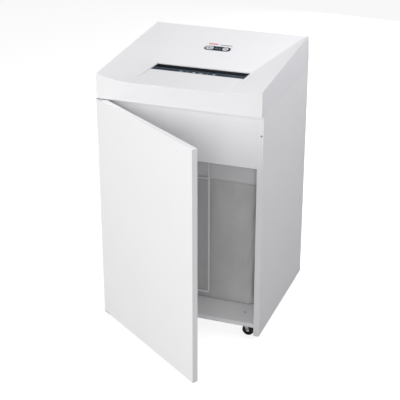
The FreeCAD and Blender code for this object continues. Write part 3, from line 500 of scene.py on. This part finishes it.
def hollowed(shape, wall):  # turns a plate into a rim of that width
    for side in (1, -1):
        face = max(shape.faces, key=lambda f: f.calc_area() * (f.normal.z * side > 0.5))
        bmesh.ops.inset_region(shape, faces=[face], thickness=wall, use_even_offset=True)
    inner = [f for f in shape.faces if abs(f.normal.z) > 0.5 and len(f.verts) > 8]
    loops = [list(f.edges) for f in inner]
    bmesh.ops.delete(shape, geom=inner, context="FACES_ONLY")
    bmesh.ops.bridge_loops(shape, edges=loops[0] + loops[1])
    bmesh.ops.recalc_face_normals(shape, faces=shape.faces)


controls = {
    "tiltDeg": 11.78, "buttonMiddle": 0.0018, "markThickness": 0.00035,
    "rimLength": 0.0965, "rimHeight": 0.0335, "rimWall": 0.0014, "rimProud": 0.0004,
    "strips": {"redStrip": (-0.0236, 0.0296, 0.032, 0.0048, redPrint),
               "greyStrip": (0.0230, 0.0264, 0.0425, 0.0032, greyPrint)},
    "startX": -0.0275, "reverseX": 0.028, "buttonTop": 0.0026, "arrow": 0.0034,
    "barLength": 0.010, "barHeight": 0.0016, "barY": -0.0055,
    "tickX": (-0.0045, 0.002, 0.0085), "tickY": -0.003, "tickLength": 0.0034, "tickHeight": 0.0012,
    "bezelTop": 0.001,
}


def panelPlace(proud):  # the panel's frame: its origin amid the controls, +Z out of the panel
    low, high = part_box("reverse_button")
    middle = Vector((0.0, (low[1] + high[1]) / 2, (low[2] + high[2]) / 2))
    tilt = Matrix.Rotation(math.radians(controls["tiltDeg"]), 4, "X")
    out = tilt @ Vector((0, 0, controls["buttonMiddle"] + proud))
    return Matrix.Translation(middle + out) @ tilt


def addMark(name, shape, x, y, proud, body, slotName, material, turnDeg=0.0):
    turned = Matrix.Translation((x, y, 0)) @ Matrix.Rotation(math.radians(turnDeg), 4, "Z")
    bmesh.ops.transform(shape, matrix=panelPlace(proud) @ turned, verts=shape.verts)
    addPiece(name, shape, body, slotName, material)


def triangleShape(size, thickness):
    shape = bmesh.new()
    bmesh.ops.create_cone(shape, cap_ends=True, segments=3, radius1=size, radius2=size, depth=thickness)
    bmesh.ops.translate(shape, vec=(0, 0, thickness / 2), verts=shape.verts)
    return shape


def makeControlMarks():
    thickness = controls["markThickness"]
    rim = stadiumShape(controls["rimLength"], controls["rimHeight"], controls["rimProud"])
    hollowed(rim, controls["rimWall"])
    addMark("controlRim", rim, 0, 0, 0, "cabinet", "grey_button", paleInk)
    for name, (x, y, length, height, material) in controls["strips"].items():
        addMark(name, stadiumShape(length, height, thickness), x, y, 0, "cabinet", "grey_button", material)
    top = controls["buttonTop"]
    for word, x, turnDeg in (("start", controls["startX"], 90), ("reverse", controls["reverseX"], -90)):
        arrow = triangleShape(controls["arrow"], thickness)
        addMark(word + "Arrow", arrow, x, 0, top, word + "_button", "navy_plastic", greyPrint, turnDeg)
    bar = stadiumShape(controls["barLength"], controls["barHeight"], thickness)
    addMark("startBar", bar, controls["startX"], controls["barY"], top, "start_button", "navy_plastic",
            greyPrint)
    for number, x in enumerate(controls["tickX"]):
        tick = stadiumShape(controls["tickLength"], controls["tickHeight"], thickness)
        addMark("lightTick" + str(number), tick, x, controls["tickY"], controls["bezelTop"], "cabinet",
                "grey_button", paleInk)


makeControlMarks()
print("control marks made")

slotMarks = {
    "count": 6, "pitch": 0.0225, "share": 0.30, "thickness": 0.0004, "stripDepth": 0.0024,
    "sizes": ((0.0130, 0.0035), (0.00505, 0.0050), (0.0091, 0.0050)), "ring": 1, "ringWall": 0.0010,
}


def makeSlotMarks():  # plain pale signs along the feed strip, in turn a sheet, a ring and a card
    low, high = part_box("inlet_guide")
    drop = high[2] - low[2] - slotMarks["stripDepth"]
    run = high[1] - low[1]
    tilt = Matrix.Rotation(-math.atan2(drop, run), 4, "X")
    for number in range(slotMarks["count"]):
        kind = number % len(slotMarks["sizes"])
        shape = stadiumShape(*slotMarks["sizes"][kind], slotMarks["thickness"])
        if kind == slotMarks["ring"]:
            hollowed(shape, slotMarks["ringWall"])
        x = (number - (slotMarks["count"] - 1) / 2) * slotMarks["pitch"]
        place = (x, low[1] + run * slotMarks["share"], high[2] - drop * slotMarks["share"])
        bmesh.ops.transform(shape, matrix=Matrix.Translation(place) @ tilt, verts=shape.verts)
        addPiece("feedSign" + str(number), shape, bodyOf["inlet_guide"], "grey_button", paleInk)


makeSlotMarks()
print("feed signs made")

fittings = {
    "capRadius": 0.0052, "capTop": 0.00442, "capProud": 0.0009, "capEdge": 0.0002, "capX": 0.203,
    "capFrontY": -0.176, "capRearY": 0.236,
    "screwRadius": 0.0042, "screwProud": 0.0014, "screwEdge": 0.0004, "screwInset": 0.012, "screwRows": 5,
}


def makeFittings():
    shape = bmesh.new()
    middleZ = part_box("cabinet_floor")[1][2] + fittings["capProud"] / 2
    for x in (-fittings["capX"], fittings["capX"]):
        for y in (fittings["capFrontY"], fittings["capRearY"]):
            barrel(shape, fittings["capRadius"], fittings["capProud"], (x, y, middleZ), upright,
                   fittings["capTop"], fittings["capEdge"], 24)
    addPiece("floorBoltCaps", shape, "cabinet", "grey_button")

    shape = bmesh.new()
    low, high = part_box("rear_panel")
    backY = high[1] + fittings["screwProud"] / 2
    inset = fittings["screwInset"]
    for row in range(fittings["screwRows"]):
        z = low[2] + inset + (high[2] - low[2] - 2 * inset) * row / (fittings["screwRows"] - 1)
        for x in (low[0] + inset, high[0] - inset):
            barrel(shape, fittings["screwRadius"], fittings["screwProud"], (x, backY, z), alongY,
                   fittings["screwRadius"], fittings["screwEdge"], 20)
    addPiece("rearPanelScrews", shape, "cabinet", "bright_steel")


makeFittings()
print("fittings made")

bagBox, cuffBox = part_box("waste_bag"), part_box("bag_cuff")


def bagOutline(share, z, grow):  # the place and outward direction at a share of the way round, at a height
    low, high = bagBox
    rise = (z - low[2]) / (high[2] - low[2])
    halfX = high[0] - bag["taperX"] * (1 - rise) + grow
    halfY = (high[1] - low[1]) / 2 - bag["taperY"] * (1 - rise) + grow
    corner = bag["cornerRadius"] + grow
    sides = (2 * (halfY - corner), 2 * (halfX - corner)) * 2
    arc = corner * math.pi / 2
    walk = (share % 1.0) * (sum(sides) + 4 * arc)
    spot, heading = Vector((halfX, -halfY + corner)), 90.0
    for straight in sides:
        forward = Vector((math.cos(math.radians(heading)), math.sin(math.radians(heading))))
        right = Vector((forward.y, -forward.x))
        if walk <= straight:
            return spot + forward * walk, right
        spot, walk = spot + forward * straight, walk - straight
        if walk <= arc:
            swing = walk / corner
            away = right * math.cos(swing) + forward * math.sin(swing)
            return spot - right * corner + away * corner, away
        spot, walk, heading = spot - right * corner + forward * corner, walk - arc, heading + 90.0
    return spot, right


def bagFolds(share, spot, z):  # how far the film is drawn in, from the tight rim to soft folds below
    down = min(1.0, max(0.0, (bag["topZ"] - z) / 0.10))
    foot = min(1.0, max(0.0, (z - bag["baseZ"]) / 0.05))
    lean = share * 46 + 1.4 * math.sin(z * 9.0)
    broad = 0.5 + 0.5 * noise.noise(Vector((spot.x * 9, spot.y * 9, z * 2.2 + 4.0)))
    ridge = 1.0 - abs(noise.noise(Vector((lean, z * 3.1, 7.0)))) * 2.2
    cross = 1.0 - abs(noise.noise(Vector((spot.x * 7 + z * 9, spot.y * 7, z * 7 + 2.0)))) * 3.0
    edge = max(0.0, (abs(spot.x) - 0.17) / 0.05)
    aside = math.hypot(bagBox[1][0] - abs(spot.x), (bagBox[1][1] - bagBox[0][1]) / 2 - abs(spot.y))
    reach = math.hypot(aside, bag["topZ"] - z) / bag["pullReach"]
    fan = max(0.0, math.sin(math.atan2(bag["topZ"] - z, aside) * bag["pullFolds"]))
    pull = fan * reach * math.exp(1 - reach ** 2)
    slack = 0.35 * broad + 0.30 * max(0.0, ridge) * (0.4 + edge) + 0.22 * max(0.0, cross)
    return (slack + 0.35 * pull) * (0.15 + 0.85 * down) * foot


def bagStation(ring):  # height, growth and share out from the middle for one ring of the sheet
    floorEnd = bag["floorRings"]
    heelEnd = floorEnd + bag["heelRings"]
    wallEnd = heelEnd + bag["wallRings"]
    overEnd = wallEnd + bag["overRings"]
    heel = bag["heelRadius"]
    if ring <= floorEnd:
        return bag["baseZ"], bag["insideGrow"] - heel, max(0.03, ring / floorEnd)
    if ring <= heelEnd:
        turn = (ring - floorEnd) / bag["heelRings"] * math.pi / 2
        grow = bag["insideGrow"] - heel * (1 - math.sin(turn))
        return bag["baseZ"] + heel * (1 - math.cos(turn)), grow, 1.0
    middleGrow = (bag["insideGrow"] + bag["outsideGrow"]) / 2
    overRadius = (bag["outsideGrow"] - bag["insideGrow"]) / 2
    shoulderZ = bag["topZ"] - overRadius * 0.5
    if ring <= wallEnd:
        climb = (ring - heelEnd) / bag["wallRings"]
        return bag["baseZ"] + heel + (shoulderZ - bag["baseZ"] - heel) * climb, bag["insideGrow"], 1.0
    if ring <= overEnd:
        turn = (ring - wallEnd) / bag["overRings"] * math.pi
        return shoulderZ + overRadius * 0.5 * math.sin(turn), middleGrow - overRadius * math.cos(turn), 1.0
    fall = (ring - overEnd) / bag["cuffRings"]
    return shoulderZ + (bag["cuffZ"] - shoulderZ) * fall, bag["outsideGrow"], 1.0


def placeBag(shape):
    for vert in shape.verts:
        ring = round(vert.co.z)
        share = math.atan2(vert.co.y, vert.co.x) / (2 * math.pi)
        z, grow, out = bagStation(ring)
        spot, away = bagOutline(share, z, grow)
        if ring <= bag["floorRings"]:
            flatSpot = spot * out
            lift = abs(noise.noise(Vector((flatSpot.x * 14, flatSpot.y * 14, 1.5)))) * bag["floorWrinkle"]
            vert.co = (flatSpot.x, bag["middleY"] + flatSpot.y, z + lift * min(1.0, 4 * (1 - out)))
            continue
        overStart = bag["floorRings"] + bag["heelRings"] + bag["wallRings"]
        if ring < overStart:
            spot = spot - away * bagFolds(share, spot, z) * bag["foldDepth"]
        elif ring > overStart + bag["overRings"]:
            fall = (bag["topZ"] - z) / (bag["topZ"] - bag["cuffZ"])
            wave = noise.noise(Vector((spot.x * 30, spot.y * 30, z * 6)))
            spot = spot + away * wave * bag["cuffWave"] * fall
            z = z + noise.noise(Vector((spot.x * 5, spot.y * 5, 3.0))) * bag["cuffDip"] * fall
        vert.co = (spot.x, bag["middleY"] + spot.y, z)


def settleBag(sheet):  # a short fall with the mouth and the floor held, so that the spare film creases
    held = sheet.vertex_groups.new(name="held")
    low = bag["baseZ"] + bag["heelRadius"] * 0.4
    high = bag["topZ"] - bagCloth["heldRim"]
    for vert in sheet.data.vertices:
        outward = vert.co.z > bag["cuffZ"] and bagIsCuff(vert.co)
        if vert.co.z > high or vert.co.z < low or outward:
            held.add([vert.index], 1.0, "REPLACE")
    cloth = sheet.modifiers.new("settle", "CLOTH")
    cloth.settings.quality = bagCloth["quality"]
    cloth.settings.mass = bagCloth["mass"]
    cloth.settings.tension_stiffness = bagCloth["stretch"]
    cloth.settings.compression_stiffness = bagCloth["stretch"]
    cloth.settings.bending_stiffness = bagCloth["bending"]
    cloth.settings.vertex_group_mass = held.name
    cloth.settings.shrink_min = bagCloth["slack"]
    cloth.collision_settings.use_collision = False
    cloth.point_cache.frame_start = 1
    cloth.point_cache.frame_end = bagCloth["frames"]
    rest = [vert.co.copy() for vert in sheet.data.vertices]
    for frameNumber in range(1, bagCloth["frames"] + 1):
        bpy.context.scene.frame_set(frameNumber)
    settled = sheet.evaluated_get(bpy.context.evaluated_depsgraph_get()).data
    moved = [vert.co.copy() for vert in settled.vertices]
    for vert, start, end in zip(sheet.data.vertices, rest, moved):
        step = end - start
        if step.length > bagCloth["mostMove"]:
            step *= bagCloth["mostMove"] / step.length
        vert.co = start + step
    sheet.modifiers.remove(cloth)
    sheet.vertex_groups.clear()
    bpy.context.scene.frame_set(1)


def bagIsCuff(place):
    low, high = cuffBox
    inner = bag["cuffInner"]
    return abs(place.x) > high[0] - inner or place.y < low[1] + inner or place.y > high[1] - inner


def cutForTabs(shape):  # the frame's tabs pass through the cuff, so it is notched round each one
    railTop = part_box("bag_rails")[0][2] + bag["tabLift"]
    space = bag["tabHalf"] + bag["tabSpace"]
    heights = (railTop - bag["tabSpace"], railTop + bag["tabHeight"] + bag["tabSpace"])
    spans = [(y - space, y + space) for y in bag["tabMiddles"]]
    cuts = [((0, 0, z), (0, 0, 1)) for z in heights]
    cuts += [((0, y, 0), (0, 1, 0)) for span in spans for y in span]
    for place, direction in cuts:
        bmesh.ops.bisect_plane(shape, geom=shape.verts[:] + shape.edges[:] + shape.faces[:], dist=0.00002,
                               plane_co=place, plane_no=direction)
    covered = []
    for face in shape.faces:
        middle = face.calc_center_median()
        inSpan = any(start < middle.y < end for start, end in spans)
        if heights[0] < middle.z < heights[1] and inSpan and abs(middle.x) > bagBox[1][0] + bag["tabInside"]:
            covered.append(face)
    bmesh.ops.delete(shape, geom=covered, context="FACES")


def makeBag():
    shape = bmesh.new()
    bmesh.ops.create_circle(shape, segments=bag["around"], radius=1.0)
    rings = bag["floorRings"] + bag["heelRings"] + bag["wallRings"] + bag["overRings"] + bag["cuffRings"]
    bmesh.ops.spin(shape, geom=shape.edges[:], cent=(0, 0, 0), axis=(0, 0, 1), dvec=(0, 0, 1), angle=0,
                   steps=rings)
    bottom = [edge for edge in shape.edges if all(abs(vert.co.z) < 0.1 for vert in edge.verts)]
    bmesh.ops.holes_fill(shape, edges=bottom, sides=0)
    bmesh.ops.recalc_face_normals(shape, faces=shape.faces)
    placeBag(shape)
    mesh = bpy.data.meshes.new("bagFilm")
    shape.to_mesh(mesh)
    sheet = bpy.data.objects.new("bagFilm", mesh)
    bpy.context.scene.collection.objects.link(sheet)
    settleBag(sheet)
    shape.clear()
    shape.from_mesh(mesh)
    cutForTabs(shape)
    bmesh.ops.smooth_vert(shape, verts=shape.verts, factor=0.15, use_axis_x=True, use_axis_y=True,
                          use_axis_z=True)
    shape.to_mesh(mesh)
    shape.free()
    mesh.materials.append(looks["bag_film"])
    mesh.shade_smooth()
    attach(sheet, "cabinet")
    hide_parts("waste_bag", "bag_cuff")
    skin = sheet.modifiers.new("film", "SOLIDIFY")
    skin.thickness = bag["film"]
    skin.offset = 0.0


makeBag()
print("bag made")

view = {"place": (1.1877, -3.2681, 1.9091), "turnDeg": (66.08, 0.0, 20.33), "lens": 99.72, "sensor": 36.0}
camera = bpy.data.objects.new("viewCamera", bpy.data.cameras.new("viewCamera"))
bpy.context.scene.collection.objects.link(camera)
camera.location = view["place"]
camera.rotation_euler = [math.radians(turn) for turn in view["turnDeg"]]
camera.data.lens = view["lens"]
camera.data.sensor_width = view["sensor"]
bpy.context.scene.camera = camera

lights = {
    "keyLight": {"place": (-2.4, -3.0, 1.9), "aim": (0.0, -0.2, 0.45), "size": 2.4, "power": 93.0},
    "fillLight": {"place": (1.0, -3.6, 1.4), "aim": (0.1, -0.2, 0.3), "size": 1.6, "power": 34.5},
    "topLight": {"place": (0.3, -0.4, 3.4), "aim": (0.0, 0.0, 0.8), "size": 2.6, "power": 33.0},
    "sideLight": {"place": (1.5, 0.2, 2.0), "aim": (0.27, 0.0, 0.95), "size": 0.6, "power": 17.0,
                  "tint": (0.95, 0.94, 1)},
    "backLight": {"place": (0.3, 3.8, 1.0), "aim": (0.0, 0.2, 0.45), "size": 2.0, "power": 34.0},
}
studio = {
    "world": 0.16, "worldSeen": 0.98, "floorColour": (0.40, 0.40, 0.40), "floorSeen": (0.82, 0.82, 0.82),
    "floorRough": 0.10, "floorBounce": (0.11, 0.11, 0.11), "floorHalf": 30.0,
}
for name, settings in lights.items():
    lamp = bpy.data.lights.new(name, "AREA")
    lamp.size = settings["size"]
    lamp.energy = settings["power"]
    lamp.color = settings.get("tint", (1, 1, 1))
    holder = bpy.data.objects.new(name, lamp)
    holder.location = settings["place"]
    toAim = Vector(settings["aim"]) - Vector(settings["place"])
    holder.rotation_euler = toAim.to_track_quat("-Z", "Y").to_euler()
    bpy.context.scene.collection.objects.link(holder)
world = bpy.data.worlds.new("paleStudio")
world.use_nodes = True
sky = world.node_tree.nodes  # soft light all round, seen as the same pale sweep as the floor
skyLight, skySeen = sky["Background"], sky.new("ShaderNodeBackground")
skyMix, skyPath = sky.new("ShaderNodeMixShader"), sky.new("ShaderNodeLightPath")
for source, strength in ((skyLight, studio["world"]), (skySeen, studio["worldSeen"])):
    source.inputs["Color"].default_value = (1.0, 1.0, 1.0, 1.0)
    source.inputs["Strength"].default_value = strength
skyFeeds = (skyPath.outputs["Is Camera Ray"], skyLight.outputs[0], skySeen.outputs[0])
for source, target in zip(skyFeeds, skyMix.inputs):
    world.node_tree.links.new(source, target)
world.node_tree.links.new(skyMix.outputs[0], sky["World Output"].inputs[0])
bpy.context.scene.world = world
bpy.context.scene.view_settings.view_transform = "Standard"

floorShape = bmesh.new()
bmesh.ops.create_grid(floorShape, x_segments=1, y_segments=1, size=studio["floorHalf"])
floorMesh = bpy.data.meshes.new("studioFloor")
floorShape.to_mesh(floorMesh)
floorShape.free()
studioFloor = bpy.data.objects.new("studioFloor", floorMesh)
bpy.context.scene.collection.objects.link(studioFloor)
floorLook = Look("paleFloor")
seen = floorLook.node("ShaderNodeLightPath", {}, {})  # bright to the camera only
floorLook.set(colour=studio["floorColour"], rough=studio["floorRough"], specular=0.5, glowStrength=1.0,
              glow=floorLook.mixed(seen, studio["floorBounce"], studio["floorSeen"]))
floorMesh.materials.append(floorLook.material)
print("camera, lights and floor set")
